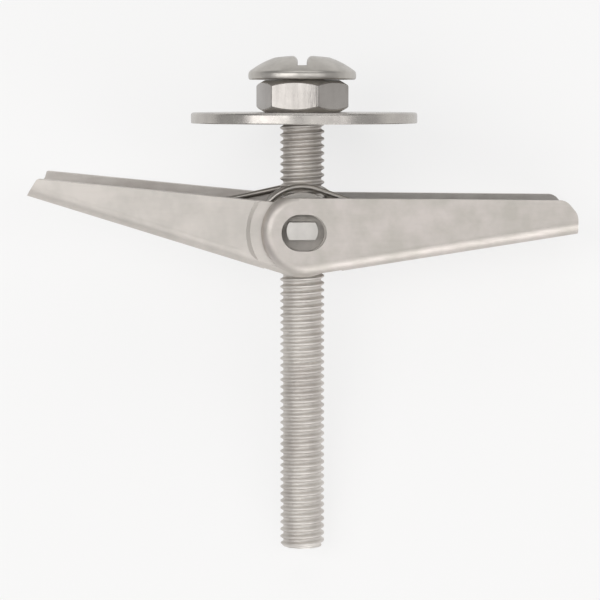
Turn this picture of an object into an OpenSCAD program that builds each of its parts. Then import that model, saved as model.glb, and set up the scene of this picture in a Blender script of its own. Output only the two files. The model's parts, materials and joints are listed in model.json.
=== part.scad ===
// Spring toggle bolt.
//
// A slotted mushroom-head machine screw carries a hex nut and a large washer under its head,
// and a toggle on its thread. The toggle is a barrel nut with a flatted hinge pin at each end,
// two wings bent from sheet steel, one nesting inside the other, and a torsion spring that
// holds the wings open until their tongues stop against the screw.
//
// In the screw's own frame +z points from the tail to the head, x lies along the open wings
// and y along the hinge pins, and the origin is the centre of the washer's bearing face.
// laid() sets that frame down the way the loose fastener comes to rest: on the washer's rim,
// the screw's tail and the tip of the right wing. The wings fold towards the head.

/* [Screw] */
// Outer diameter of the thread
thread_d = 4.9; // [4.3:0.1:5.5]
// Length from the underside of the head to the tail
screw_len = 52; // [45:1:70]
// Diameter of the mushroom head
head_d = 12; // [10:0.5:14]
// Height of the head at its crown
head_h = 2.65; // [2.2:0.05:3.4]
// Radius of the dome of the head
dome_r = 9.5; // [8:0.5:12]
// Radius of the flatter crown on top of the dome
crown_r = 22; // [15:1:40]
// Height of the rim of the head, where its dome begins
head_rim_h = 0.8; // [0.7:0.05:1.2]
// Rounding of the lower edge of the head
head_edge = 0.35; // [0.1:0.05:0.5]
// Width of the screwdriver slot
slot_w = 1; // [0.8:0.1:1.4]
// Depth of the screwdriver slot
slot_depth = 1.1; // [0.8:0.05:1.5]

/* [Nut and washer] */
// Width of the hex nut across its flats
nut_af = 9.1; // [8.4:0.1:10.5]
// Height of the hex nut
nut_h = 3.55; // [2.4:0.05:4.5]
// Turn of the hex nut about the screw
nut_turn = 13; // [0:1:30]
// Diameter of the flat ends of the hex nut, inside its chamfers
nut_face_d = 8.25; // [7:0.05:8.3]
// Angle of the chamfers on the hex nut
nut_chamfer = 30; // [20:1:35]
// Gap between the hex nut and the head
nut_gap = 0.05; // [0.05:0.05:1]
// Outer diameter of the washer
washer_d = 25; // [20:0.5:30]
// Thickness of the washer
washer_t = 1.2; // [0.8:0.1:1.6]
// Rounding of the edges of the washer
washer_edge = 0.2; // [0.05:0.05:0.35]

/* [Barrel nut] */
// Distance from the washer's bearing face to the hinge axis
toggle_drop = 11.6; // [11:0.1:20]
// Wall of the barrel outside the thread
barrel_wall = 1.65; // [1.2:0.05:2.2]
// Diameter of the hinge pins
pin_d = 3.4; // [2.8:0.1:3.5]
// Thickness of the hinge pins across their flats
pin_flat = 1.9; // [1.6:0.1:2.6]
// Length of the hinge pins outside the outer wing
pin_proud = 0.25; // [0.1:0.05:0.6]

/* [Wings] */
// Thickness of the sheet
sheet_t = 0.9; // [0.7:0.05:1.1]
// Outside radius of the bends between web and cheeks
bend_r = 1.5; // [1.2:0.1:1.8]
// Slope of the web against the rims of an open wing
web_slope = 9; // [7:0.5:10]
// Height of the tip above the web
tip_h = 2.15; // [1.6:0.05:2.6]
// Width of the oval hinge hole
hole_w = 4.9; // [4.4:0.1:5.2]
// Height of the oval hinge hole
hole_h = 4; // [3.95:0.05:4.3]
// How far each wing hangs below the hinge axis
wing_sag = 0.22; // [0:0.02:0.24]
// How far the right wing sits out from the hinge axis, towards its tip
right_out = 0.2; // [0:0.05:0.3]
// Reach of the right wing from the centre of its ears
right_reach = 29.8; // [26:0.1:32]
// Radius of the ears of the right wing
right_ear_r = 4.8; // [4.55:0.05:5]
// Mean height of the rims of the right wing above the centre of its ears
right_rim_h = 3.9; // [3.4:0.05:4.3]
// Fall of the rims of the right wing towards its tip
right_rim_fall = 0.5; // [0:0.1:1.5]
// Lean of the rims of the right wing, higher on the far cheek
right_rim_lean = 1.3; // [0:0.1:4]
// Rake of the tip of the right wing
right_tip_rake = 2; // [0:1:30]
// Length of the slanted corner between the tip and the rims of the right wing
right_tip_cut = 1.4; // [0.6:0.1:1.8]
// How far the left wing sits out from the hinge axis, towards its tip
left_out = 0; // [0:0.05:0.3]
// Reach of the left wing from the centre of its ears
left_reach = 30.3; // [26:0.1:32]
// Radius of the ears of the left wing
left_ear_r = 5.1; // [5:0.05:5.4]
// Mean height of the rims of the left wing above the centre of its ears
left_rim_h = 3.3; // [3.2:0.1:4.3]
// Fall of the rims of the left wing towards its tip
left_rim_fall = 2.6; // [1.5:0.1:3.5]
// Lean of the rims of the left wing, higher on the far cheek
left_rim_lean = 3.7; // [0:0.1:4]
// Rake of the tip of the left wing
left_tip_rake = 25; // [0:1:30]
// Length of the slanted corner between the tip and the rims of the left wing
left_tip_cut = 0.7; // [0.4:0.1:1.8]
// Angle that the left wing stands raised while the right wing is level
left_raise = 8.2; // [0:0.1:10]
// Radius of the coined hollow around the hinge of the left wing
coin_r = 6.1; // [5.6:0.1:7]
// Depth of the coined hollow
coin_depth = 0.22; // [0.1:0.02:0.35]

/* [Spring] */
// Diameter of the spring wire
wire_d = 0.65; // [0.5:0.05:0.75]
// Gap between the barrel and the coils
coil_gap = 0.3; // [0.15:0.05:0.4]
// Gap between neighbouring turns of the spring
turn_gap = 0.03; // [0.02:0.01:0.1]
// Angle above the right wing at which the wire crosses to the other side of the screw
cross_at = 49; // [47:0.5:51]
// Radius of the wire's bends where it crosses
cross_bend = 0.8; // [0.6:0.1:1]
// Distance from the hinge axis at which the legs meet the wings
leg_reach = 17; // [12:0.5:22]

/* [Fits] */
// Clearance around the thread in the hex nut and the barrel nut
thread_play = 0.05; // [0.02:0.01:0.1]
// Clearance around the thread in the washer
washer_play = 0.3; // [0.15:0.05:0.6]
// Clearance at the sides of each wing
side_play = 0.15; // [0.1:0.05:0.3]
// Clearance between parts that turn past each other about the hinge
turn_play = 0.15; // [0.1:0.05:0.3]
// Gap between the screw and the tongues that stop the wings
stop_gap = 0.15; // [0.1:0.05:0.3]
// Gap between the spring and whatever it lies beside
wire_play = 0.15; // [0.1:0.05:0.2]

/* [Hidden] */

$fn = 96;
eps = 0.01;
cutter = 100; // size of a cutting block, larger than the whole fastener
ear_skim = 0.02; // how far the ears' round edge passes below the web, to cross it cleanly

thread_r = thread_d / 2;
head_z = washer_t + nut_h + nut_gap;
tail_z = head_z - screw_len;
bore_r = thread_r + thread_play;

barrel_r = thread_r + barrel_wall;
coil_r = barrel_r + coil_gap + wire_d / 2;
coil_pitch = wire_d + turn_gap;
lane_in = thread_r + wire_play + wire_d / 2;     // |y| of the turns nearest the screw
far_turns = 1.15;                                // turns of the longer coil, rounded up
lane_out = lane_in + far_turns * coil_pitch;     // |y| of the turns farthest from it
barrel_half = lane_out + wire_d / 2;

left_half = barrel_half + side_play + sheet_t;   // |y| of the outer faces of each wing
right_half = left_half + side_play + sheet_t;
pin_half = right_half + pin_proud;
tongue_half = lane_in - wire_d / 2 - wire_play;  // half the width of a tongue
tongue_x = thread_r + stop_gap;                  // x of a stopped tongue's end

// The webs begin where they are clear of all that turns about the hinge inside them.
coil_outer = coil_r + wire_d / 2 + turn_play;
left_ear_outer = left_ear_r + norm([left_out, wing_sag]) + turn_play;
right_window = window_start(max(coil_outer, left_ear_outer), right_ear_r, right_out);
left_window = window_start(coil_outer, left_ear_r, left_out);

// How the loose fastener lies: the washer's edge and the screw's tail touch the ground when
// the head end is raised by lie_tilt, and then it rolls by lie_roll onto the right wing's tip.
rim_over_tail = washer_d / 2 - washer_edge - thread_r;
rim_to_tail = washer_edge - tail_z;
lie_tilt = acos(-washer_edge / norm([rim_over_tail, rim_to_tail]))
         - atan2(rim_to_tail, rim_over_tail);
lie_height = thread_r * cos(lie_tilt) - tail_z * sin(lie_tilt);
rest_tip = [right_reach + right_out, right_half,
            web_v(right_ear_r, right_reach) + bend_r - toggle_drop - wing_sag];
rest_depth = (lie_height + rest_tip.z * sin(lie_tilt)) / cos(lie_tilt);
lie_roll = atan2(rest_tip.x, rest_tip.y) - acos(rest_depth / norm([rest_tip.x, rest_tip.y]));

// ---- Placement ----

// Sets the screw's frame down as the loose fastener rests.
module laid() {
    rotate([lie_tilt - 90, 0, 0]) rotate([0, 0, lie_roll]) children();
}

// Puts the hinge's frame, whose origin is the hinge axis, on the screw.
module at_hinge() {
    laid() translate([0, 0, -toggle_drop]) children();
}

// Turns a shape drawn with the screw's x and z into a slab centred on y.
module across(width) {
    rotate([90, 0, 0]) linear_extrude(width, center = true) children();
}

// Turns a section drawn with y and z into a bar that runs along +x.
module along(from, to) {
    translate([from, 0, 0]) rotate([90, 0, 90]) linear_extrude(to - from) children();
}

// ---- Screw, hex nut and washer ----

// A half section from the axis outwards, with rounded outer corners.
module round_edged_section(radius, height, edge) {
    square([radius - edge, height]);
    translate([0, edge]) square([radius, height - 2 * edge]);
    for (z = [edge, height - edge]) translate([radius - edge, z]) circle(edge);
}

// The head's half section: a rim, a dome that starts from it, and a flatter crown.
module head_section() {
    intersection() {
        round_edged_section(head_d / 2, head_h + head_edge, head_edge);
        translate([0, head_rim_h - sqrt(dome_r * dome_r - head_d * head_d / 4)])
            circle(dome_r, $fn = 180);
        translate([0, head_h - crown_r]) circle(crown_r, $fn = 360);
    }
}

module bolt() {
    color("#A8A49F") laid() difference() {
        union() {
            translate([0, 0, tail_z]) cylinder(r = thread_r, h = screw_len + eps);
            translate([0, 0, head_z]) rotate_extrude() head_section();
        }
        translate([-slot_w / 2, -head_d, head_z + head_h - slot_depth])
            cube([slot_w, 2 * head_d, head_h]);
    }
}

module hex_nut() {
    corner_r = nut_af / 2 / cos(30);
    face_r = nut_face_d / 2;
    fall = (corner_r + eps - face_r) * tan(nut_chamfer);
    color("#B9B6B1") laid() translate([0, 0, washer_t]) difference() {
        intersection() {
            rotate([0, 0, -nut_turn]) cylinder(r = corner_r, h = nut_h, $fn = 6);
            rotate_extrude() polygon([
                [0, 0], [face_r, 0], [corner_r + eps, fall],
                [corner_r + eps, nut_h - fall], [face_r, nut_h], [0, nut_h]
            ]);
        }
        translate([0, 0, -eps]) cylinder(r = bore_r, h = nut_h + 2 * eps);
    }
}

module flat_washer() {
    color("#B0ACA7") laid() difference() {
        rotate_extrude() round_edged_section(washer_d / 2, washer_t, washer_edge);
        translate([0, 0, -eps]) cylinder(r = thread_r + washer_play, h = washer_t + 2 * eps);
    }
}

// ---- Barrel nut ----

module toggle_nut() {
    color("#A39F9A") at_hinge() difference() {
        union() {
            across(2 * barrel_half) circle(barrel_r);
            intersection() {
                across(2 * pin_half) circle(d = pin_d);
                cube([pin_d + eps, 2 * pin_half + eps, pin_flat], center = true);
            }
        }
        cylinder(r = bore_r, h = 4 * barrel_r, center = true);
    }
}

// ---- Wings ----

// Height of the outer face of a web at u from the centre of its ears, which have radius ear_r.
function web_v(ear_r, u) = u * tan(web_slope) - ear_r / cos(web_slope);

// Where a web's windows begin, along the web from the hinge, to be clear of a circle of radius r.
function window_start(r, ear_r, out) =
    let (inner = ear_r - sheet_t + out * sin(web_slope) + wing_sag * cos(web_slope))
    sqrt(pow(r, 2) - pow(min(r, inner), 2));

// The outline of a wing from the side: round ears, and a tip. Above the rims and below the web
// it runs on, where the rims' cut and the web's own face end the wing.
module wing_side(reach, ear_r, rim_h, rim_fall, tip_rake, tip_cut) {
    foot = [reach, web_v(ear_r, reach)];
    tip_up = [-sin(tip_rake), cos(tip_rake)];
    tip = foot + tip_h * tip_up;
    rim_u = tip.x - tip_cut;
    rim_end = [rim_u, rim_h - rim_u * tan(rim_fall)];
    circle(ear_r + ear_skim);
    polygon([[0, 0], 2 * ear_r * [sin(web_slope), -cos(web_slope)], foot - bend_r * tip_up,
             tip, 2 * rim_end - tip, [0, 2 * rim_h]]);
}

// All that lies below the rims: they fall towards the tip, and lean from cheek to cheek.
module below_rims(rim_h, rim_fall, rim_lean) {
    translate([0, 0, rim_h]) rotate([rim_lean, rim_fall, 0])
        translate([-cutter / 2, -cutter / 2, -cutter]) cube(cutter);
}

// A tall section with rounded lower corners, from height base upwards.
module trough(half, corner_r, base) {
    translate([-half, base + corner_r]) square([2 * half, cutter / 4]);
    translate([corner_r - half, base]) square([2 * (half - corner_r), cutter / 4]);
    for (side = [-1, 1]) translate([side * (half - corner_r), base + corner_r]) circle(corner_r);
}

// The bent sheet before it is trimmed, web and cheeks, with u along x.
module bent_sheet(reach, half, ear_r) {
    along(0, reach + tip_h) difference() {
        trough(half, bend_r, -ear_r);
        trough(half - sheet_t, bend_r - sheet_t, sheet_t - ear_r);
    }
}

// The cheeks' round ends behind the hinge, around which the bend's rounding goes on.
module ears(half, ear_r) {
    for (side = [-1, 1]) rotate([side * 90, 0, 0]) rotate([0, 0, 90])
        rotate_extrude(angle = 180) intersection() {
            translate([0, half - sheet_t]) square([ear_r, sheet_t]);
            union() {
                square([ear_r - bend_r, half]);
                translate([ear_r - bend_r, half - bend_r]) circle(bend_r);
            }
        }
}

// What is cut out of the web between the cheeks: a window on each side of the tongue, and room
// for the screw and the barrel. swing is how far the wing stands raised when it is stopped.
module hinge_cuts(half, window, swing) {
    inner = half - sheet_t;
    slot = inner - tongue_half;
    for (side = [-1, 1]) translate([window - cutter, side < 0 ? -inner : tongue_half, -cutter / 2])
        cube([cutter, slot, cutter]);
    rotate([0, swing + web_slope, 0]) translate([tongue_x - cutter, -inner, -cutter / 2])
        cube([cutter, 2 * inner, cutter]);
    across(2 * inner) circle(barrel_r + turn_play);
}

module oval_hole() {
    straight = hole_w - hole_h;
    square([straight, hole_h], center = true);
    for (side = [-1, 1]) translate([side * straight / 2, 0]) circle(d = hole_h);
}

module wing(out, reach, half, ear_r, rim_h, rim_fall, rim_lean, tip_rake, tip_cut, window,
            swing) {
    difference() {
        translate([out, 0, -wing_sag]) intersection() {
            rotate([0, -web_slope, 0]) {
                bent_sheet(reach, half, ear_r);
                ears(half, ear_r);
            }
            across(2 * half + sheet_t)
                wing_side(reach, ear_r, rim_h, rim_fall, tip_rake, tip_cut);
            below_rims(rim_h, rim_fall, rim_lean);
        }
        rotate([0, -web_slope, 0]) hinge_cuts(half, window, swing);
        translate([out, 0, -wing_sag]) across(cutter) oval_hole();
    }
}

module wing_right() {
    color("#C2BDB7") at_hinge()
        wing(right_out, right_reach, right_half, right_ear_r, right_rim_h, right_rim_fall,
             right_rim_lean, right_tip_rake, right_tip_cut, right_window, 0);
}

// The left wing nests inside the right one, and its cheeks are coined thinner at the hinge.
module wing_left() {
    color("#C9C5C0") at_hinge() rotate([0, -left_raise, 180]) difference() {
        wing(left_out, left_reach, left_half, left_ear_r, left_rim_h, left_rim_fall,
             -left_rim_lean, left_tip_rake, left_tip_cut, left_window, left_raise);
        for (side = [-1, 1]) translate([left_out, side * (left_half + eps), -wing_sag])
            rotate([side * 90, 0, 0])
                cylinder(r1 = coin_r, r2 = coin_r - 2 * coin_depth, h = coin_depth + eps);
    }
}

// ---- Torsion spring ----

// The coil turns about y. At an angle a above +x and at y it has this point.
function on_coil(a, y) = [coil_r * cos(a), y, coil_r * sin(a)];

// Where a leg ends on a web: clear of its inner face, wire_d / 2 and a play above it.
function leg_end(ear_r, out, swing) =
    let (u = leg_reach,
         v = web_v(ear_r - sheet_t, u - out) - wing_sag + wire_d / 2 + wire_play)
    [u * cos(swing) - v * sin(swing), u * sin(swing) + v * cos(swing)];

// The angle at which a leg that ends at e leaves the coil as a tangent.
function leg_angle(e) = atan2(e.y, e.x) + acos(coil_r / norm(e));

right_end = leg_end(right_ear_r, right_out, 0);
left_end = leg_end(left_ear_r, left_out, left_raise);
bend_angle = cross_bend / coil_r * 180 / PI;
near_from = leg_angle(right_end);
near_to = 360 + cross_at - bend_angle;
far_from = cross_at + bend_angle;
far_to = 360 + 180 - leg_angle(left_end);
coil_steps = 36;  // rings along each coil
bend_steps = 5;   // rings around each bend

spring_path = concat(
    [[right_end.x, -lane_out, right_end.y]],
    [for (i = [0:coil_steps]) let (t = i / coil_steps)
        on_coil(near_from + t * (near_to - near_from), -lane_out + t * (lane_out - lane_in))],
    [for (i = [1:bend_steps]) let (b = 90 * i / bend_steps)
        on_coil(near_to + bend_angle * sin(b), -lane_in + cross_bend * (1 - cos(b)))],
    [for (i = [0:bend_steps - 1]) let (b = 90 * i / bend_steps)
        on_coil(cross_at + bend_angle * (1 - cos(b)), lane_in - cross_bend * (1 - sin(b)))],
    [for (i = [0:coil_steps]) let (t = i / coil_steps)
        on_coil(far_from + t * (far_to - far_from), lane_in + t * (lane_out - lane_in))],
    [[-left_end.x, lane_out, left_end.y]]
);

function unit(v) = v / norm(v);

// A round tube along a list of points, with its rings kept from twisting.
module tube(path, radius, sides = 12) {
    last = len(path) - 1;
    heading = [for (i = [0:last]) unit(path[min(i + 1, last)] - path[max(i - 1, 0)])];
    function carried(i, v) =
        unit(v - (v * heading[i]) * heading[i]);
    across_start = carried(0, [0, 1, 0]);
    normals = [for (i = 0, v = across_start; i <= last;
                    i = i + 1, v = i <= last ? carried(i, v) : v) v];
    rings = [for (i = [0:last]) let (n = normals[i], b = cross(heading[i], n))
        for (k = [0:sides - 1]) let (a = 360 * k / sides)
            path[i] + radius * (cos(a) * n + sin(a) * b)];
    walls = [for (i = [0:last - 1], k = [0:sides - 1]) let (m = (k + 1) % sides)
        [i * sides + k, (i + 1) * sides + k, (i + 1) * sides + m, i * sides + m]];
    polyhedron(rings, concat(walls, [[for (k = [0:sides - 1]) k]],
                             [[for (k = [sides - 1:-1:0]) last * sides + k]]));
}

module torsion_spring() {
    color("#8E8B87") at_hinge() tube(spring_path, wire_d / 2);
}

bolt();
hex_nut();
flat_washer();
toggle_nut();
wing_right();
wing_left();
torsion_spring();
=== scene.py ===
"""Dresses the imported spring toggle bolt: a rolled thread, rounded sheet and wire, and zinc on all.

Every piece is drawn in the screw's own frame, in millimetres: +z from the tail to the head, x
along the open wings and y along the hinge pins, from the centre of the washer's bearing face.
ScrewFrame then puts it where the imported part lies.
"""

import json
import logging
import math
from dataclasses import dataclass, field
from enum import Enum
from typing import Any, Callable, Sequence

import bmesh
import bpy
from mathutils import Matrix, Vector


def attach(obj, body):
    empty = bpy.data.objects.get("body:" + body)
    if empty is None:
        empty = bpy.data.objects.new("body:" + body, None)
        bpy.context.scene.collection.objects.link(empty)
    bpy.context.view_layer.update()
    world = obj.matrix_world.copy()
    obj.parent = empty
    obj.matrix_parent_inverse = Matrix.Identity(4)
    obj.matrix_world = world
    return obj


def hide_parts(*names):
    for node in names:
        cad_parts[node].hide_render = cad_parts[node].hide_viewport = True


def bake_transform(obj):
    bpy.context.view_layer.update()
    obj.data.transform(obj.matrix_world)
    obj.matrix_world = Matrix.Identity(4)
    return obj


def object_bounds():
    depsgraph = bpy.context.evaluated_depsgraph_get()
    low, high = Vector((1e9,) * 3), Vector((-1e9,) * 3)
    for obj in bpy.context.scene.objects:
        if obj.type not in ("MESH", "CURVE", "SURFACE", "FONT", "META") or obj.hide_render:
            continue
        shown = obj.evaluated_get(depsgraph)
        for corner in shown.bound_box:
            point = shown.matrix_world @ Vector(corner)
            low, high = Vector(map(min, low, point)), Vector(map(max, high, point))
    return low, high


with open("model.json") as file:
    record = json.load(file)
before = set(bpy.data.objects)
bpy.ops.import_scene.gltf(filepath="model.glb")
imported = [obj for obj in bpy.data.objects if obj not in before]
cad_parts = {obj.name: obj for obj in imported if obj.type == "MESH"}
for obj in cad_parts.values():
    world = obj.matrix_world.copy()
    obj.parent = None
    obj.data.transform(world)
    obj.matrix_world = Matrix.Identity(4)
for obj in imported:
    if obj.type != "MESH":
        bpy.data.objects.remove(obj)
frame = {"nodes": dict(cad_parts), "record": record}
CAD_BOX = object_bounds()

log = logging.getLogger("toggle_bolt")

MM = 0.001
HALF_FACET = 30.0  # half of what one facet of a hexagon spans, in degrees

Socket = bpy.types.NodeSocket
Point = tuple[float, float, float]
Pair = tuple[float, float]


# ---- Shared tools ----


def linear(colour: str) -> tuple[float, float, float, float]:
    """Turns an sRGB hex colour into a linear one.

    Args:
        colour: six hex digits after a hash.

    Returns:
        Linear red, green, blue and an alpha of 1.
    """
    shares = [int(colour[i:i + 2], 16) / 255 for i in (1, 3, 5)]
    return (*[s / 12.92 if s <= 0.04045 else ((s + 0.055) / 1.055) ** 2.4 for s in shares], 1.0)


def add(tree: bpy.types.NodeTree, kind: str, links: dict | None = None, **settings: Any) -> Any:
    """Adds one node to a shader or geometry tree.

    Args:
        tree: the tree that gets the node.
        kind: the node's type name.
        links: for each input, by name or number, a node (its first output is taken), an output
            socket, or a plain value.
        settings: attributes to set on the node before its inputs.

    Returns:
        The new node.
    """
    node = tree.nodes.new(kind)
    for name, value in settings.items():
        setattr(node, name, value)
    for key, value in (links or {}).items():
        if isinstance(value, bpy.types.Node):
            value = next(o for o in value.outputs if o.enabled)
        if isinstance(value, Socket):
            tree.links.new(value, node.inputs[key])
        else:
            node.inputs[key].default_value = value
    return node


def geometry_tree(name: str, sizes: dict[str, Any], source: bool = False
                  ) -> tuple[bpy.types.NodeTree, bpy.types.Node]:
    """Makes an empty geometry tree with named inputs.

    Args:
        name: the tree's name.
        sizes: for each input its value, a float, an int or a material.
        source: whether the tree starts from the object's own geometry.

    Returns:
        The tree, and its group input node.
    """
    kinds = {float: "NodeSocketFloat", int: "NodeSocketInt",
             bpy.types.Material: "NodeSocketMaterial"}
    tree = bpy.data.node_groups.new(name, "GeometryNodeTree")
    if source:
        tree.interface.new_socket("Path", in_out="INPUT", socket_type="NodeSocketGeometry")
    for label, value in sizes.items():
        tree.interface.new_socket(label, in_out="INPUT", socket_type=kinds[type(value)])
    tree.interface.new_socket("Geometry", in_out="OUTPUT", socket_type="NodeSocketGeometry")
    return tree, add(tree, "NodeGroupInput")


def finish_tree(tree: bpy.types.NodeTree, geometry: Any, finish: Socket) -> None:
    """Ends a geometry tree: smooth faces, real instances and the finish.

    Args:
        tree: the tree.
        geometry: the node that makes the shape.
        finish: the tree's material input.
    """
    smooth = add(tree, "GeometryNodeSetShadeSmooth", {"Geometry": geometry})
    real = add(tree, "GeometryNodeRealizeInstances", {0: smooth})
    dressed = add(tree, "GeometryNodeSetMaterial", {"Geometry": real, "Material": finish})
    add(tree, "NodeGroupOutput", {0: dressed})


def new_object(name: str, data: Any) -> bpy.types.Object:
    """Makes an object and puts it in the scene.

    Args:
        name: the object's name.
        data: its mesh, curve, light or camera.

    Returns:
        The new object.
    """
    obj = bpy.data.objects.new(name, data)
    bpy.context.scene.collection.objects.link(obj)
    return obj


def mesh_object(shape: bmesh.types.BMesh, name: str) -> bpy.types.Object:
    """Makes an object of a shape, which is used up.

    Args:
        shape: the shape.
        name: the name of the object and of its mesh.

    Returns:
        The new object.
    """
    mesh = bpy.data.meshes.new(name)
    shape.to_mesh(mesh)
    shape.free()
    return new_object(name, mesh)


def plain_mesh(obj: bpy.types.Object, name: str) -> bpy.types.Object:
    """Turns an object with its modifiers into a plain mesh object.

    Args:
        obj: the object, which is used up.
        name: the name of the new object and of its mesh.

    Returns:
        The new object.
    """
    graph = bpy.context.evaluated_depsgraph_get()
    mesh = bpy.data.meshes.new_from_object(obj.evaluated_get(graph), depsgraph=graph)
    mesh.name = name
    bpy.data.objects.remove(obj)
    return new_object(name, mesh)


def run_tree(data: Any, name: str, tree: bpy.types.NodeTree,
             sizes: dict[str, Any]) -> bpy.types.Object:
    """Runs a geometry tree and keeps what it makes as a plain mesh.

    Args:
        data: the mesh or curve that the object starts from.
        name: the finished object's name.
        tree: the geometry tree.
        sizes: the value of each named input.

    Returns:
        An object with a plain mesh.
    """
    obj = new_object(name + "_base", data)
    modifier = obj.modifiers.new(tree.name, "NODES")
    modifier.node_group = tree
    sockets = {s.name: s.identifier for s in tree.interface.items_tree if s.in_out == "INPUT"}
    for label, value in sizes.items():
        modifier[sockets[label]] = value
    return plain_mesh(obj, name)


class ScrewFrame:
    """The screw's own frame, in millimetres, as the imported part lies."""

    def __init__(self, record: dict) -> None:
        """Reads the axes from the joints and the origin from the bearing face.

        Args:
            record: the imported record.
        """
        joints = {j["name"]: j for j in record["behaviour"]["joints"]}
        mounts = {m["name"]: m for m in record["mounts"]}
        up = -Vector(joints["toggle_travel"]["axis"])
        hinge = Vector(joints["wing_left_fold"]["axis"])
        along = hinge.cross(up)
        origin = Vector(mounts["bearing_face"]["pos_m"])
        turn = Matrix((along, hinge, up)).transposed().to_4x4()
        self.matrix = Matrix.Translation(origin) @ turn @ Matrix.Scale(MM, 4)
        self.back = self.matrix.inverted()
        self.unturn = self.matrix.to_quaternion().inverted()
        self.hinge_z = (self.back @ Vector(joints["wing_left_fold"]["pos_m"])).z

    def point(self, x: float, y: float, z: float) -> Vector:
        """A point of the screw's frame, in the part's own frame and in metres."""
        return self.matrix @ Vector((x, y, z))

    def place(self, obj: bpy.types.Object) -> bpy.types.Object:
        """Moves a mesh drawn in the screw's frame to where the part lies."""
        obj.data.transform(self.matrix)
        return obj

    def points(self, mesh: bpy.types.Mesh) -> list[Vector]:
        """A mesh's vertices in the screw's frame."""
        return [self.back @ v.co for v in mesh.vertices]

    def box(self, node: str) -> tuple[Vector, Vector]:
        """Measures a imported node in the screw's frame.

        Args:
            node: the node's name.

        Returns:
            Its lowest and highest corner.
        """
        points = self.points(frame["nodes"][node].data)
        low = Vector([min(p[i] for p in points) for i in range(3)])
        high = Vector([max(p[i] for p in points) for i in range(3)])
        return low, high


def from_rings(name: str, rings: Sequence[Sequence[Point]], round_again: bool = True,
               weld: float = 1e-5) -> bpy.types.Object:
    """Joins closed rings of points into a closed shape whose faces point outwards.

    Args:
        name: the object's name.
        rings: the points of each ring, as many in each.
        round_again: whether the last ring joins the first. If not, both get an end face.
        weld: how near points have to be to become one, in millimetres.

    Returns:
        The new object.
    """
    shape = bmesh.new()
    made = [[shape.verts.new(point) for point in ring] for ring in rings]
    for ring, after in zip(made, made[1:] + made[:1] if round_again else made[1:]):
        for i in range(len(ring)):
            j = (i + 1) % len(ring)
            shape.faces.new((ring[i], after[i], after[j], ring[j]))
    for end in () if round_again else (made[0], made[-1]):
        shape.faces.new(end)
    bmesh.ops.remove_doubles(shape, verts=shape.verts, dist=weld)
    bmesh.ops.dissolve_degenerate(shape, edges=shape.edges, dist=weld)
    bmesh.ops.recalc_face_normals(shape, faces=shape.faces)
    return mesh_object(shape, name)


def spun(name: str, section: Sequence[Pair], steps: int) -> bpy.types.Object:
    """Turns a closed half section about the screw's axis.

    Args:
        name: the object's name.
        section: the radius and height of each of its points.
        steps: how many times the section is set round the axis.

    Returns:
        The turned object.
    """
    turns = [2 * math.pi * k / steps for k in range(steps)]
    return from_rings(name, [[(r * math.cos(t), r * math.sin(t), z) for r, z in section]
                             for t in turns])


def arc(centre: Pair, radius: float, start: float, end: float, steps: int) -> list[Pair]:
    """Draws an arc.

    Args:
        centre: its centre, as radius and height.
        radius: its radius.
        start: where it starts, in degrees from the first axis.
        end: where it ends.
        steps: how many chords it has.

    Returns:
        The points along it.
    """
    turns = [math.radians(start + (end - start) * k / steps) for k in range(steps + 1)]
    return [(centre[0] + radius * math.cos(t), centre[1] + radius * math.sin(t)) for t in turns]


def shade_by_flats(obj: bpy.types.Object, sharper_than: float = 42.0,
                   level_within: float = 0.4) -> None:
    """Shades a mesh smooth, with its flats kept flat and only the roundings between them bent.

    Args:
        obj: the object, whose normals are set.
        sharper_than: the least angle in degrees between two faces that stays a crisp edge.
        level_within: the most that two faces of one flat may lean apart, in degrees.
    """
    mesh = obj.data
    shape = bmesh.new()
    shape.from_mesh(mesh)
    shape.faces.ensure_lookup_table()
    same, smooth = (math.cos(math.radians(a)) for a in (level_within, sharper_than))
    weights = [0.0] * len(shape.faces)
    for face in shape.faces:
        if weights[face.index]:
            continue
        flat, reached = {face.index}, [face]
        area = 0.0
        while reached:
            here = reached.pop()
            area += here.calc_area() / MM ** 2
            for edge in here.edges:
                for near in edge.link_faces:
                    if near.index not in flat and near.normal.dot(face.normal) > same:
                        flat.add(near.index)
                        reached.append(near)
        for index in flat:
            weights[index] = max(weights[index], area ** 2)
    normals = [(0.0, 0.0, 1.0)] * len(mesh.loops)
    for face in shape.faces:
        for corner, index in zip(face.loops, mesh.polygons[face.index].loop_indices):
            total = Vector()
            for near in corner.vert.link_faces:
                if near is face or near.normal.dot(face.normal) > smooth:
                    total += near.normal * weights[near.index]
            normals[index] = tuple(total.normalized() if total.length else face.normal)
    shape.free()
    mesh.shade_smooth()
    mesh.normals_split_custom_set(normals)


def with_rounded_edges(obj: bpy.types.Object, name: str,
                       materials: Sequence[bpy.types.Material], width: float,
                       steps: int = 3, sharper_than: float = 30.0) -> bpy.types.Object:
    """Rounds the sharp edges of a closed mesh and shades it smooth.

    Args:
        obj: the object, which is used up.
        name: the finished object's name.
        materials: the finishes by slot. The second is for the rounded edges.
        width: the width of the rounding, in the object's own units.
        steps: faces across each rounding.
        sharper_than: the least angle in degrees between two faces that is rounded.

    Returns:
        The finished object.
    """
    for material in materials:
        obj.data.materials.append(material)
    bevel = obj.modifiers.new("rounding", "BEVEL")
    bevel.limit_method = "ANGLE"
    bevel.angle_limit = math.radians(sharper_than)
    bevel.width = width
    bevel.segments = steps
    bevel.use_clamp_overlap = True
    bevel.material = 1
    made = plain_mesh(obj, name)
    shade_by_flats(made)
    return made


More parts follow.
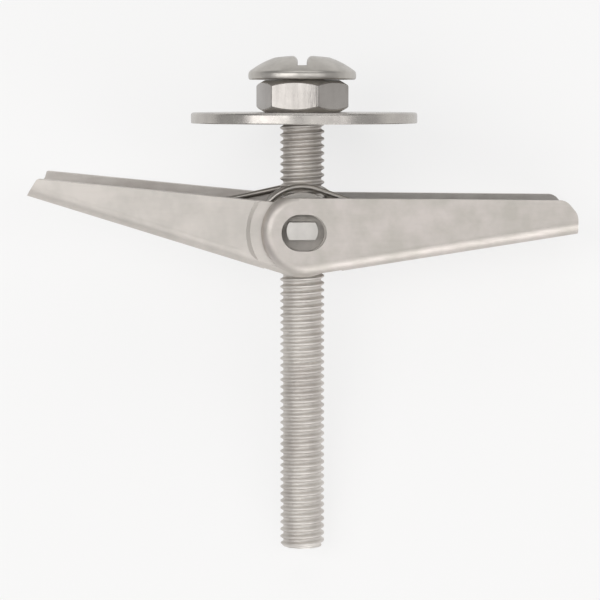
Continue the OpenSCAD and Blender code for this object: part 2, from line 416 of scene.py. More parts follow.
def packed_copy(node: str, weld: float = 1e-6, level_within: float = 0.5) -> bpy.types.Object:
    """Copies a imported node's mesh, closes it and joins its triangles into flat faces.

    Args:
        node: the node's name.
        weld: how near points have to be to become one, in metres.
        level_within: the most that two triangles of one face may lean apart, in degrees.

    Returns:
        The copy.
    """
    shape = bmesh.new()
    shape.from_mesh(frame["nodes"][node].data)
    bmesh.ops.remove_doubles(shape, verts=shape.verts, dist=weld)
    bmesh.ops.dissolve_limit(shape, angle_limit=math.radians(level_within), verts=shape.verts,
                             edges=shape.edges, delimit=set())
    return mesh_object(shape, node + "_copy")


def outward(obj: bpy.types.Object) -> None:
    """Turns a closed mesh's faces outwards.

    Args:
        obj: the mesh's object.
    """
    shape = bmesh.new()
    shape.from_mesh(obj.data)
    bmesh.ops.recalc_face_normals(shape, faces=shape.faces)
    shape.to_mesh(obj.data)
    shape.free()


# ---- Finishes ----


class Grain(Enum):
    """Which way the marks of making run, as factors on the screw's x, y and z.

    A factor below 1 draws the marks out along its axis, and one above 1 squeezes them.
    """

    ROLLED_SHEET = (0.12, 1.0, 1.0)
    TURNED = (1.0, 1.0, 5.0)
    DRAWN = (1.0, 1.0, 1.0)
    PRESSED = (1.0, 1.0, 0.15)


@dataclass(frozen=True)
class ZincPlate:
    """Bright zinc plating on steel: a satin metal with a faint cloudy tone and fine marks.

    Zinc gives a warm light grey with soft reflections, cloudy where the bath left it uneven.
    The marks are drawn coarser than a press or a die leaves them, so that they show.
    """

    name: str
    tone: str
    cloud: str
    roughness: float
    grain: Grain
    cloud_mm: float = 3.0
    mark_mm: float = 0.35
    mark_depth_mm: float = 0.006
    rough_either_way: float = 0.06

    def material(self, screw: ScrewFrame) -> bpy.types.Material:
        """Builds the material, with its patterns measured in the screw's frame.

        Args:
            screw: the frame that the marks follow.

        Returns:
            The finished material.
        """
        made = bpy.data.materials.new(self.name)
        made.use_nodes = True
        tree = made.node_tree
        tree.nodes.clear()
        where = add(tree, "ShaderNodeTexCoord").outputs["Object"]
        turned = add(tree, "ShaderNodeMapping",
                     {"Vector": where, "Rotation": screw.unturn.to_euler()})
        along = add(tree, "ShaderNodeVectorMath", {0: turned, 1: self.grain.value},
                    operation="MULTIPLY")
        clouds = add(tree, "ShaderNodeTexNoise",
                     {"Vector": turned, "Scale": 1 / (self.cloud_mm * MM), "Detail": 3.0,
                      "Roughness": 0.6})
        marks = add(tree, "ShaderNodeTexNoise",
                    {"Vector": along, "Scale": 1 / (self.mark_mm * MM), "Detail": 4.0,
                     "Roughness": 0.65})
        cloudy = add(tree, "ShaderNodeMapRange",
                     {"Value": clouds, "From Min": 0.35, "From Max": 0.65})
        colour = add(tree, "ShaderNodeMix", {"Factor": cloudy, "A": linear(self.cloud),
                                             "B": linear(self.tone)}, data_type="RGBA")
        rough = add(tree, "ShaderNodeMapRange",
                    {"Value": marks, "From Min": 0.3, "From Max": 0.7,
                     "To Min": self.roughness - self.rough_either_way,
                     "To Max": self.roughness + self.rough_either_way})
        bump = add(tree, "ShaderNodeBump", {"Height": marks, "Strength": 1.0,
                                            "Distance": self.mark_depth_mm * MM})
        metal = add(tree, "ShaderNodeBsdfPrincipled",
                    {"Base Color": colour.outputs[2], "Metallic": 1.0, "Roughness": rough,
                     "Normal": bump})
        add(tree, "ShaderNodeOutputMaterial", {"Surface": metal})
        return made


@dataclass(frozen=True)
class Finishes:
    """The finishes of the fastener, each named for the surface that wears it."""

    thread: ZincPlate = ZincPlate("rolled_zinc_thread", "#DEDAD5", "#D0CBC6", 0.55, Grain.TURNED)
    head: ZincPlate = ZincPlate("headed_zinc", "#C1BDB7", "#B1ADA7", 0.34, Grain.DRAWN)
    nut: ZincPlate = ZincPlate("pressed_zinc_nut", "#9F9B97", "#938F8B", 0.18, Grain.PRESSED,
                               mark_mm=0.8, mark_depth_mm=0.02)
    # A much lighter tone on the nut's end faces and chamfers: painted light where shade falls under
    # the head and over the washer.
    chamfer: ZincPlate = ZincPlate("painted_light_zinc_nut_ends", "#EBE7E1", "#DEDAD5", 0.65, Grain.TURNED)
    washer: ZincPlate = ZincPlate("stamped_zinc_washer", "#BDB9B3", "#AFAAA6", 0.27, Grain.DRAWN,
                                  mark_mm=1.2, mark_depth_mm=0.0008)
    barrel: ZincPlate = ZincPlate("turned_zinc_barrel", "#DAD6D1", "#CDC9C4", 0.34, Grain.DRAWN,
                                  mark_mm=0.8, mark_depth_mm=0.001)
    # A darker tone on the barrel's end faces round the pins: painted shade inside the wings' holes.
    barrel_end_shade: ZincPlate = ZincPlate("painted_shade_zinc_barrel_ends", "#B9B4AF", "#AAA6A0", 0.5, Grain.DRAWN)
    outer_wing: ZincPlate = ZincPlate("zinc_sheet_outer", "#D0C9C4", "#C1BCB5", 0.5,
                                      Grain.ROLLED_SHEET)
    inner_wing: ZincPlate = ZincPlate("zinc_sheet_inner", "#D3CDC7", "#C7C2BC", 0.5,
                                      Grain.ROLLED_SHEET)
    # Darker tones for the faces inside each wing's channel: painted shade.
    outer_channel_shade: ZincPlate = ZincPlate("painted_shade_zinc_outer_channel", "#AAA6A2", "#9D9995", 0.42,
                                        Grain.ROLLED_SHEET)
    inner_channel_shade: ZincPlate = ZincPlate("painted_shade_zinc_inner_channel", "#C6C1BC", "#BAB4AF", 0.5,
                                        Grain.ROLLED_SHEET)
    # The right wing's rounded edges, lighter than its faces: painted highlight.
    edge: ZincPlate = ZincPlate("painted_highlight_zinc_edge", "#EBE7E1", "#D9D5D0", 0.34, Grain.DRAWN)
    # The left wing's rounded edges, much darker than its faces: painted shade.
    edge_painted_shade: ZincPlate = ZincPlate("painted_shade_zinc_edge", "#7B7875", "#6F6C69", 0.5, Grain.DRAWN)
    wire: ZincPlate = ZincPlate("drawn_spring_wire", "#BBB6B1", "#AAA6A0", 0.36, Grain.DRAWN)


class Dresser:
    """Puts pieces in place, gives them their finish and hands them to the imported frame."""

    def __init__(self, screw: ScrewFrame, finishes: Finishes) -> None:
        """Builds every material once.

        Args:
            screw: the frame that the pieces are drawn in.
            finishes: the finishes that they get.
        """
        self.screw = screw
        self.materials = {name: finish.material(screw) for name, finish in vars(finishes).items()}

    def finishes(self, *names: str) -> list[bpy.types.Material]:
        """The materials of those names."""
        return [self.materials[name] for name in names]

    def hand_over(self, obj: bpy.types.Object, node: str) -> None:
        """Hands a piece over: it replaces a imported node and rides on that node's body.

        Args:
            obj: the finished piece.
            node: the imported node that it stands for, which has its body's name.
        """
        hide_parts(node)
        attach(obj, node)
        log.info("%s rides on %s: %d faces", obj.name, node, len(obj.data.polygons))


# ---- Screw, hex nut and washer ----


@dataclass
class MachineScrew:
    """The screw: a rolled thread along its whole shank, and a slotted mushroom head.

    The two shares of the pitch are how far from the crest's middle it ends and the root starts,
    and sunk is how far the thread runs on inside the head. The head's section has five arcs: its
    lip, its rim, the shoulder, the dome and the crown, with the angles between them in degrees.
    The slot's cutter flares by slot_round at its mouth, and at both ends, where the flare starts
    slot_end times as far inside the rim.
    """

    pitch: float = 0.8
    thread_depth: float = 0.34
    tail_chamfer: float = 0.35
    crest_share: float = 0.0625
    root_share: float = 0.375
    turn_steps: int = 40
    pitch_steps: int = 10
    spare_turns: int = 4
    weld: float = 0.002
    sunk: float = 0.6
    head_h: float = 2.65
    rim_h: float = 0.8
    lip_r: float = 0.22
    rim_up: float = 8.0
    rim_down: float = 8.0
    shoulder_r: float = 0.5
    shoulder_up: float = 52.8
    dome_r: float = 9.5
    crown_r: float = 22.0
    arc_steps: tuple[int, int, int, int, int] = (7, 8, 6, 14, 8)
    slot_w: float = 1.0
    slot_depth: float = 1.1
    slot_round: float = 0.65
    slot_end: float = 1.3
    cutter_above: float = 4.0
    cutter_past: float = 1.2
    cutter_clear: float = 0.02
    floor_steps: int = 24
    end_steps: int = 8
    mouth_steps: int = 7
    head_steps: int = 144
    crisp: float = 35.0
    thread_r: float = field(init=False)
    head_r: float = field(init=False)
    tail_z: float = field(init=False)
    head_z: float = field(init=False)

    def build(self, dresser: Dresser) -> None:
        """Builds and dresses the thread and the head.

        Args:
            dresser: gives the finishes and takes the pieces.
        """
        low, high = dresser.screw.box("bolt")
        self.thread_r = self.shank_radius(dresser.screw)
        self.head_r = high.x
        self.tail_z = low.z
        self.head_z = high.z - self.head_h
        for obj in (self.thread(dresser), self.head(dresser)):
            dresser.screw.place(obj)
            dresser.hand_over(obj, "bolt")

    def shank_radius(self, screw: ScrewFrame) -> float:
        """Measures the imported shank's radius at its tail.

        Args:
            screw: the frame that it is measured in.

        Returns:
            The radius.
        """
        points = screw.points(frame["nodes"]["bolt"].data)
        tail = min(p.z for p in points)
        return max(math.hypot(p.x, p.y) for p in points if p.z < tail + self.pitch)

    def thread(self, dresser: Dresser) -> bpy.types.Object:
        """Wraps a strip, one pitch wide, round the shank, and closes it at both ends.

        Args:
            dresser: gives the finish.

        Returns:
            The thread.
        """
        top = self.head_z + self.sunk
        turns = math.ceil((top - self.tail_z) / self.pitch) + self.spare_turns
        sizes = {"Turns": float(turns), "Turn Vertices": turns * self.turn_steps + 1,
                 "Pitch Vertices": self.pitch_steps + 1, "Pitch": self.pitch,
                 "Middle": (top + self.tail_z) / 2, "Tail": self.tail_z, "Top": top,
                 "Root Radius": self.thread_r - self.thread_depth,
                 "Crest Radius": self.thread_r, "End Radius": self.thread_r - self.tail_chamfer,
                 "Crest Share": self.crest_share, "Root Share": self.root_share,
                 "Weld": self.weld, "Finish": dresser.materials["thread"]}
        tree, given = geometry_tree("rolled_thread", sizes)
        size = given.outputs
        strip = add(tree, "GeometryNodeMeshGrid",
                    {"Size X": size["Turns"], "Size Y": 1.0, "Vertices X": size["Turn Vertices"],
                     "Vertices Y": size["Pitch Vertices"]})
        place = add(tree, "ShaderNodeSeparateXYZ", {0: add(tree, "GeometryNodeInputPosition")})
        turn, share = place.outputs["X"], place.outputs["Y"]
        wound = add(tree, "ShaderNodeMath", {0: turn, 1: share}, operation="ADD")
        height = add(tree, "ShaderNodeMath", {0: wound, 1: size["Pitch"], 2: size["Middle"]},
                     operation="MULTIPLY_ADD")
        below = add(tree, "ShaderNodeMath", {0: size["Tail"], 1: height}, operation="SUBTRACT")
        above = add(tree, "ShaderNodeMath", {0: height, 1: size["Top"]}, operation="SUBTRACT")
        past = add(tree, "ShaderNodeMath", {0: below, 1: above}, operation="MAXIMUM")
        closing = add(tree, "ShaderNodeMapRange",
                      {"Value": past, "From Min": 0.0, "From Max": size["Pitch"],
                       "To Min": 1.0, "To Max": 0.0})
        from_crest = add(tree, "ShaderNodeMath", {0: share}, operation="ABSOLUTE")
        ridge = add(tree, "ShaderNodeMapRange",
                    {"Value": from_crest, "From Min": size["Root Share"],
                     "From Max": size["Crest Share"], "To Min": size["Root Radius"],
                     "To Max": size["Crest Radius"]}, interpolation_type="SMOOTHSTEP")
        level = add(tree, "ShaderNodeClamp", {"Value": height, "Min": size["Tail"],
                                              "Max": size["Top"]})
        from_tail = add(tree, "ShaderNodeMath", {0: level, 1: size["Tail"]},
                        operation="SUBTRACT")
        cone = add(tree, "ShaderNodeMath", {0: from_tail, 1: size["End Radius"]},
                   operation="ADD")
        chamfered = add(tree, "ShaderNodeMath", {0: ridge, 1: cone}, operation="MINIMUM")
        radius = add(tree, "ShaderNodeMath", {0: chamfered, 1: closing}, operation="MULTIPLY")
        spoke = add(tree, "ShaderNodeCombineXYZ", {"X": radius, "Z": level})
        angle = add(tree, "ShaderNodeMath", {0: turn, 1: 2 * math.pi}, operation="MULTIPLY")
        wrapped = add(tree, "ShaderNodeVectorRotate", {"Vector": spoke, "Angle": angle},
                      rotation_type="Z_AXIS")
        moved = add(tree, "GeometryNodeSetPosition", {"Geometry": strip, "Position": wrapped})
        closed = add(tree, "GeometryNodeMergeByDistance",
                     {"Geometry": moved, "Distance": size["Weld"]})
        finish_tree(tree, closed, size["Finish"])
        made = run_tree(bpy.data.meshes.new("strip"), "screw_thread", tree, sizes)
        outward(made)
        return made

    def head_section(self) -> list[Pair]:
        """Draws the head's half section, from the middle of its underside to its top.

        Returns:
            The radius and height of each point.
        """
        z = self.head_z
        dome_z = z + self.rim_h - math.sqrt(self.dome_r ** 2 - self.head_r ** 2)
        crown_z = z + self.head_h - self.crown_r
        down, up, top = (math.radians(a) for a in (self.rim_down, self.rim_up, self.shoulder_up))
        dome_foot = (self.dome_r * math.cos(top), dome_z + self.dome_r * math.sin(top))
        shoulder = (dome_foot[0] - self.shoulder_r * math.cos(top),
                    dome_foot[1] - self.shoulder_r * math.sin(top))
        rim_top = (shoulder[0] + self.shoulder_r * math.cos(up),
                   shoulder[1] + self.shoulder_r * math.sin(up))
        rim_r = ((rim_top[1] - z - self.lip_r * (1 - math.sin(down)))
                 / (math.sin(up) + math.sin(down)))
        rim = (rim_top[0] - rim_r * math.cos(up), rim_top[1] - rim_r * math.sin(up))
        lip = (rim[0] + (rim_r - self.lip_r) * math.cos(down), z + self.lip_r)
        level = ((self.dome_r ** 2 - self.crown_r ** 2 + crown_z ** 2 - dome_z ** 2)
                 / (2 * (crown_z - dome_z)))
        dome_end = math.degrees(math.asin((level - dome_z) / self.dome_r))
        crown_start = math.degrees(math.asin((level - crown_z) / self.crown_r))
        arcs = [(lip, self.lip_r, -90.0, -self.rim_down),
                (rim, rim_r, -self.rim_down, self.rim_up),
                (shoulder, self.shoulder_r, self.rim_up, self.shoulder_up),
                ((0.0, dome_z), self.dome_r, self.shoulder_up, dome_end),
                ((0.0, crown_z), self.crown_r, crown_start, 90.0)]
        section = [(0.0, z)]
        for curve, steps in zip(arcs, self.arc_steps):
            points = arc(*curve, steps)
            section += points if len(section) == 1 else points[1:]
        return section

    def height_at(self, radius: float) -> float:
        """Measures the height of the head's upper side.

        Args:
            radius: how far from the screw's axis.

        Returns:
            The height there.
        """
        section = self.head_section()[1:]
        for (r1, z1), (r2, z2) in zip(section, section[1:]):
            if z1 > self.head_z + self.lip_r and min(r1, r2) <= radius <= max(r1, r2):
                return z1 + (z2 - z1) * (radius - r1) / (r2 - r1) if r1 != r2 else z1
        return self.head_z + self.rim_h / 2

    def blade(self) -> bpy.types.Object:
        """Builds the cutter of the slot, whose mouth and ends flare as a worn cutter's do.

        Returns:
            The cutter, which reaches past the head.
        """
        flare, half = self.slot_round, self.slot_w / 2
        floor_z = self.head_z + self.head_h - self.slot_depth
        top_z = self.head_z + self.cutter_above
        inner = self.head_r - self.slot_end * flare
        ys = [inner * k / self.floor_steps for k in range(self.floor_steps + 1)]
        ys += [inner + self.slot_end * flare * k / self.end_steps
               for k in range(1, self.end_steps + 1)]
        ys.append(self.cutter_past * self.head_r)
        turns = [math.pi / 2 * k / self.mouth_steps for k in range(self.mouth_steps + 1)]
        rings = []
        for y in [-y for y in reversed(ys[1:])] + ys:
            out = min(max((abs(y) - inner) / flare, 0.0), 1.0)
            wide = half + flare * (1 - math.sqrt(1 - out ** 2))
            level = self.height_at(min(math.hypot(wide + flare, y), self.head_r))
            level = max(level + self.cutter_clear, floor_z + flare + self.cutter_clear)
            side = [(wide, floor_z)]
            side += [(wide + flare * (1 - math.cos(t)), level - flare * (1 - math.sin(t)))
                     for t in turns]
            side.append((wide + flare, top_z))
            rings.append([(x, y, z) for x, z in side + [(-x, z) for x, z in reversed(side)]])
        return from_rings("slot_blade", rings, round_again=False)

    def head(self, dresser: Dresser) -> bpy.types.Object:
        """Turns the head's section, cuts the slot and shades the rest smooth.

        Args:
            dresser: gives the finish.

        Returns:
            The head.
        """
        blank = spun("head_blank", self.head_section(), self.head_steps)
        blade = self.blade()
        cut = blank.modifiers.new("slot", "BOOLEAN")
        cut.operation = "DIFFERENCE"
        cut.object = blade
        cut.solver = "EXACT"
        made = plain_mesh(blank, "screw_head")
        bpy.data.objects.remove(blade)
        made.data.materials.clear()
        made.data.materials.append(dresser.materials["head"])
        shade_by_flats(made, self.crisp)
        return made


@dataclass
class HexNut:
    """The hexagon nut under the head: chamfered at both ends, its facets a little full.

    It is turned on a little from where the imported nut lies. Each chamfer is eased where it
    meets the end face, over soft to either side, and at its brow, where it meets a facet. The
    brow's sizes are how far in it starts, and how far in and up its middle is, as shares of
    soft. Its angles are in degrees.
    """

    across: float = 9.1
    end_r: float = 4.125
    chamfer: float = 30.0
    bore_r: float = 2.5
    fullness: float = 0.1
    corner_r: float = 0.14
    turned_on: float = 2.4
    soft: float = 0.1
    foot_sag: float = 0.2
    brow: tuple[float, float, float] = (0.8, 0.2, 0.3)
    steps: int = 360
    facing: float = 0.5
    crisp: float = 50.0

    def reach(self, turn: float) -> float:
        """Measures the outline's radius.

        Args:
            turn: the angle in degrees from the middle of a facet.

        Returns:
            The radius at that angle.
        """
        half, r, to_corner = self.across / 2, self.corner_r, math.radians(HALF_FACET)
        t = math.radians((turn + HALF_FACET) % (2 * HALF_FACET) - HALF_FACET)
        side = half * math.tan(to_corner)
        bulge = self.fullness * (0.5 - (half * math.tan(t) / side) ** 2)
        flat = (half + bulge) / math.cos(t)
        middle = (half - self.fullness / 2 - r) / math.cos(to_corner)
        off = to_corner - abs(t)
        if middle * math.sin(off) >= r:
            return flat
        return min(flat, middle * math.cos(off)
                   + math.sqrt(r ** 2 - (middle * math.sin(off)) ** 2))

    def side(self, reach: float, low: float, high: float) -> list[Pair]:
        """Draws the half section, from the bore's foot round to its top.

        Args:
            reach: the outline's radius where the section is taken.
            low: the lower face's height.
            high: the upper face's height.

        Returns:
            The radius and height of each point.
        """
        soft, slope = self.soft, math.tan(math.radians(self.chamfer))
        drop, rise = (reach - self.end_r) * slope, soft * slope
        start, inset, lift = self.brow
        lower = [(self.bore_r, low), (self.end_r - soft, low),
                 (self.end_r, low + rise * self.foot_sag), (self.end_r + soft, low + rise),
                 (reach - start * soft, low + drop - start * rise),
                 (reach - inset * soft, low + drop + lift * soft), (reach, low + drop + soft)]
        return lower + [(r, low + high - z) for r, z in reversed(lower)]

    def build(self, dresser: Dresser) -> None:
        """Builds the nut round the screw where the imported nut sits, and dresses it.

        Args:
            dresser: gives the finishes and takes the piece.
        """
        packed = dresser.screw.points(frame["nodes"]["hex_nut"].data)
        low, high = min(p.z for p in packed), max(p.z for p in packed)
        corner = max(packed, key=lambda p: math.hypot(p.x, p.y))
        first = math.degrees(math.atan2(corner.y, corner.x)) - HALF_FACET + self.turned_on
        rings = []
        for turn in (360.0 * k / self.steps for k in range(self.steps)):
            a = math.radians(first + turn)
            rings.append([(r * math.cos(a), r * math.sin(a), z)
                          for r, z in self.side(self.reach(turn), low, high)])
        nut = from_rings("hexagon_nut", rings)
        for finish in dresser.finishes("nut", "chamfer"):
            nut.data.materials.append(finish)
        # End faces and chamfers get the much lighter finish: painted light over the shade under the
        # head and over the washer.
        for face in nut.data.polygons:
            if abs(face.normal.z) > self.facing:
                face.material_index = 1
        shade_by_flats(nut, self.crisp)
        dresser.screw.place(nut)
        dresser.hand_over(nut, "hex_nut")


@dataclass
class FlatWasher:
    """The stamped washer: rolled over at its upper edge, and nearly square at its lower.

    It hangs loose on the screw, to one side by its slack.
    """

    upper_round: float = 0.3
    lower_round: float = 0.12
    bore_r: float = 2.75
    bore_round: float = 0.1
    slack: float = 0.2
    upper_steps: int = 8
    lower_steps: int = 5
    bore_steps: int = 3
    steps: int = 192

    def build(self, dresser: Dresser) -> None:
        """Turns the washer's section and dresses it.

        Args:
            dresser: gives the finish and takes the piece.
        """
        outermost = dresser.screw.box("flat_washer")[1]
        r, t = outermost.x, outermost.z
        up, down, hole = self.upper_round, self.lower_round, self.bore_round
        section = arc((self.bore_r + hole, hole), hole, 180.0, 270.0, self.bore_steps)
        section += arc((r - down, down), down, -90.0, 0.0, self.lower_steps)
        section += arc((r - up, t - up), up, 0.0, 90.0, self.upper_steps)
        section += arc((self.bore_r + hole, t - hole), hole, 90.0, 180.0, self.bore_steps)
        washer = spun("stamped_washer", section, self.steps)
        washer.data.materials.append(dresser.materials["washer"])
        shade_by_flats(washer)
        washer.data.transform(Matrix.Translation((self.slack, 0, 0)))
        dresser.screw.place(washer)
        dresser.hand_over(washer, "flat_washer")


# ---- Toggle ----


@dataclass
class BarrelNut:
    """The barrel with its flatted hinge pins. Its end faces lie nearer the middle than end_y."""

    edge: float = 0.16
    end_y: float = 5.0
    facing: float = 0.9

    def build(self, dresser: Dresser) -> None:
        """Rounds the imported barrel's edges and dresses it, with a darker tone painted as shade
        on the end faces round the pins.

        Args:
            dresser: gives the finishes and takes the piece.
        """
        screw = dresser.screw
        barrel = with_rounded_edges(packed_copy("toggle_nut"), "barrel_nut",
                                    dresser.finishes("barrel", "barrel", "barrel_end_shade"),
                                    self.edge * MM)
        # The barrel's end faces round the pins get the darker finish: painted shade inside the
        # wings' holes.
        for face in barrel.data.polygons:
            across = abs((screw.unturn @ face.normal).y) > self.facing
            if across and abs((screw.back @ face.center).y) < self.end_y:
                face.material_index = 2
        dresser.hand_over(barrel, "toggle_nut")


@dataclass
class Wing:
    """A wing of bent sheet steel, one of the nested pair.

    Its cut edges are rounded as a press leaves them, and its tip's corners more. Inside the
    channel a darker tone is painted as shade, and the rounded edges get a tone of their own,
    painted highlight on the right wing and painted shade on the left. An edge that runs through
    the sheet, along y, is between sheet_least and sheet_most long. The angles, sharp and crisp,
    are in degrees.
    """

    node: str
    name: str
    finish: str
    # inner is the darker finish inside the channel, painted shade. rim is the finish of the rounded
    # edges: main gives painted highlight for the right wing and painted shade for the left.
    inner: str
    rim: str
    edge: float
    corner: float
    drawn_out: float = 0.0
    tip_share: float = 0.9
    corner_share: float = 0.94
    corner_steps: int = 6
    sheet_least: float = 0.6
    sheet_most: float = 1.2
    across_share: float = 0.98
    rim_least: float = 1.0
    sharp: float = 15.0
    crisp: float = 24.0
    facing: float = 0.35

    def core(self, screw: ScrewFrame, mesh: bpy.types.Mesh) -> tuple[Vector, Vector]:
        """Finds the middle of the channel, in the screw's frame.

        Args:
            screw: the screw's frame.
            mesh: the wing's mesh.

        Returns:
            The middle at the hinge and at the tip.
        """
        points = screw.points(mesh)
        reach = max(abs(p.x) for p in points)
        tip = [p for p in points if abs(p.x) > self.tip_share * reach]
        height = sum(p.z for p in tip) / len(tip)
        side = math.copysign(reach, tip[0].x)
        return Vector((0, 0, screw.hinge_z)), Vector((side, 0, height))

    def is_sharp(self, edge: bmesh.types.BMEdge) -> bool:
        """Whether two faces meet at an edge at more than the sharp angle."""
        return (len(edge.link_faces) == 2
                and edge.calc_face_angle() > math.radians(self.sharp))

    def soften_tip(self, obj: bpy.types.Object, screw: ScrewFrame) -> None:
        """Draws the rims' corners out, and rounds the tip's corners, which run along y.

        Args:
            obj: the wing, still with its packed edges.
            screw: the screw's frame.
        """
        back = screw.back
        reach = max(abs(p.x) for p in screw.points(obj.data))
        shape = bmesh.new()
        shape.from_mesh(obj.data)
        corners = []
        for edge in shape.edges:
            a, b = (back @ v.co for v in edge.verts)
            length = (b - a).length
            through = (self.sheet_least < length < self.sheet_most
                       and self.across_share * length < abs(b.y - a.y))
            at_tip = min(abs(a.x), abs(b.x)) > self.tip_share * reach
            if through and at_tip and self.is_sharp(edge):
                corners.append(edge)
        log.info("%s: %d corners rounded at the tip", self.name, len(corners))
        for corner in {v for e in corners for v in e.verts}:
            at = back @ corner.co
            rims = [e.other_vert(corner).co for e in corner.link_edges if self.is_sharp(e)
                    and abs((back @ e.other_vert(corner).co).x) < abs(at.x) - self.rim_least]
            if rims and abs(at.x) < self.corner_share * reach:
                along = (corner.co - rims[0]).normalized()
                corner.co += along * self.drawn_out * MM
        bmesh.ops.bevel(shape, geom=corners, offset=self.corner * MM,
                        segments=self.corner_steps, profile=0.5, affect="EDGES",
                        clamp_overlap=True)
        shape.to_mesh(obj.data)
        shape.free()

    def build(self, dresser: Dresser) -> None:
        """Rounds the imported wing's edges and dresses it.

        Args:
            dresser: gives the finishes and takes the piece.
        """
        screw = dresser.screw
        sheet = packed_copy(self.node)
        self.soften_tip(sheet, screw)
        wing = with_rounded_edges(sheet, self.name,
                                  dresser.finishes(self.finish, self.rim, self.inner),
                                  self.edge * MM, sharper_than=self.crisp)
        hinge, tip = self.core(screw, wing.data)
        # Faces that look into the channel get the darker finish: painted shade.
        for face in wing.data.polygons:
            centre, normal = screw.back @ face.center, screw.unturn @ face.normal
            share = min(max(centre.x / tip.x, 0.0), 1.0)
            inward = (hinge.lerp(tip, share) - centre).normalized()
            if normal.dot(inward) > self.facing:
                face.material_index = 2
        dresser.hand_over(wing, self.node)


class Side(Enum):
    """The two sides of the toggle, as the sign of their wing's x."""

    RIGHT = 1
    LEFT = -1


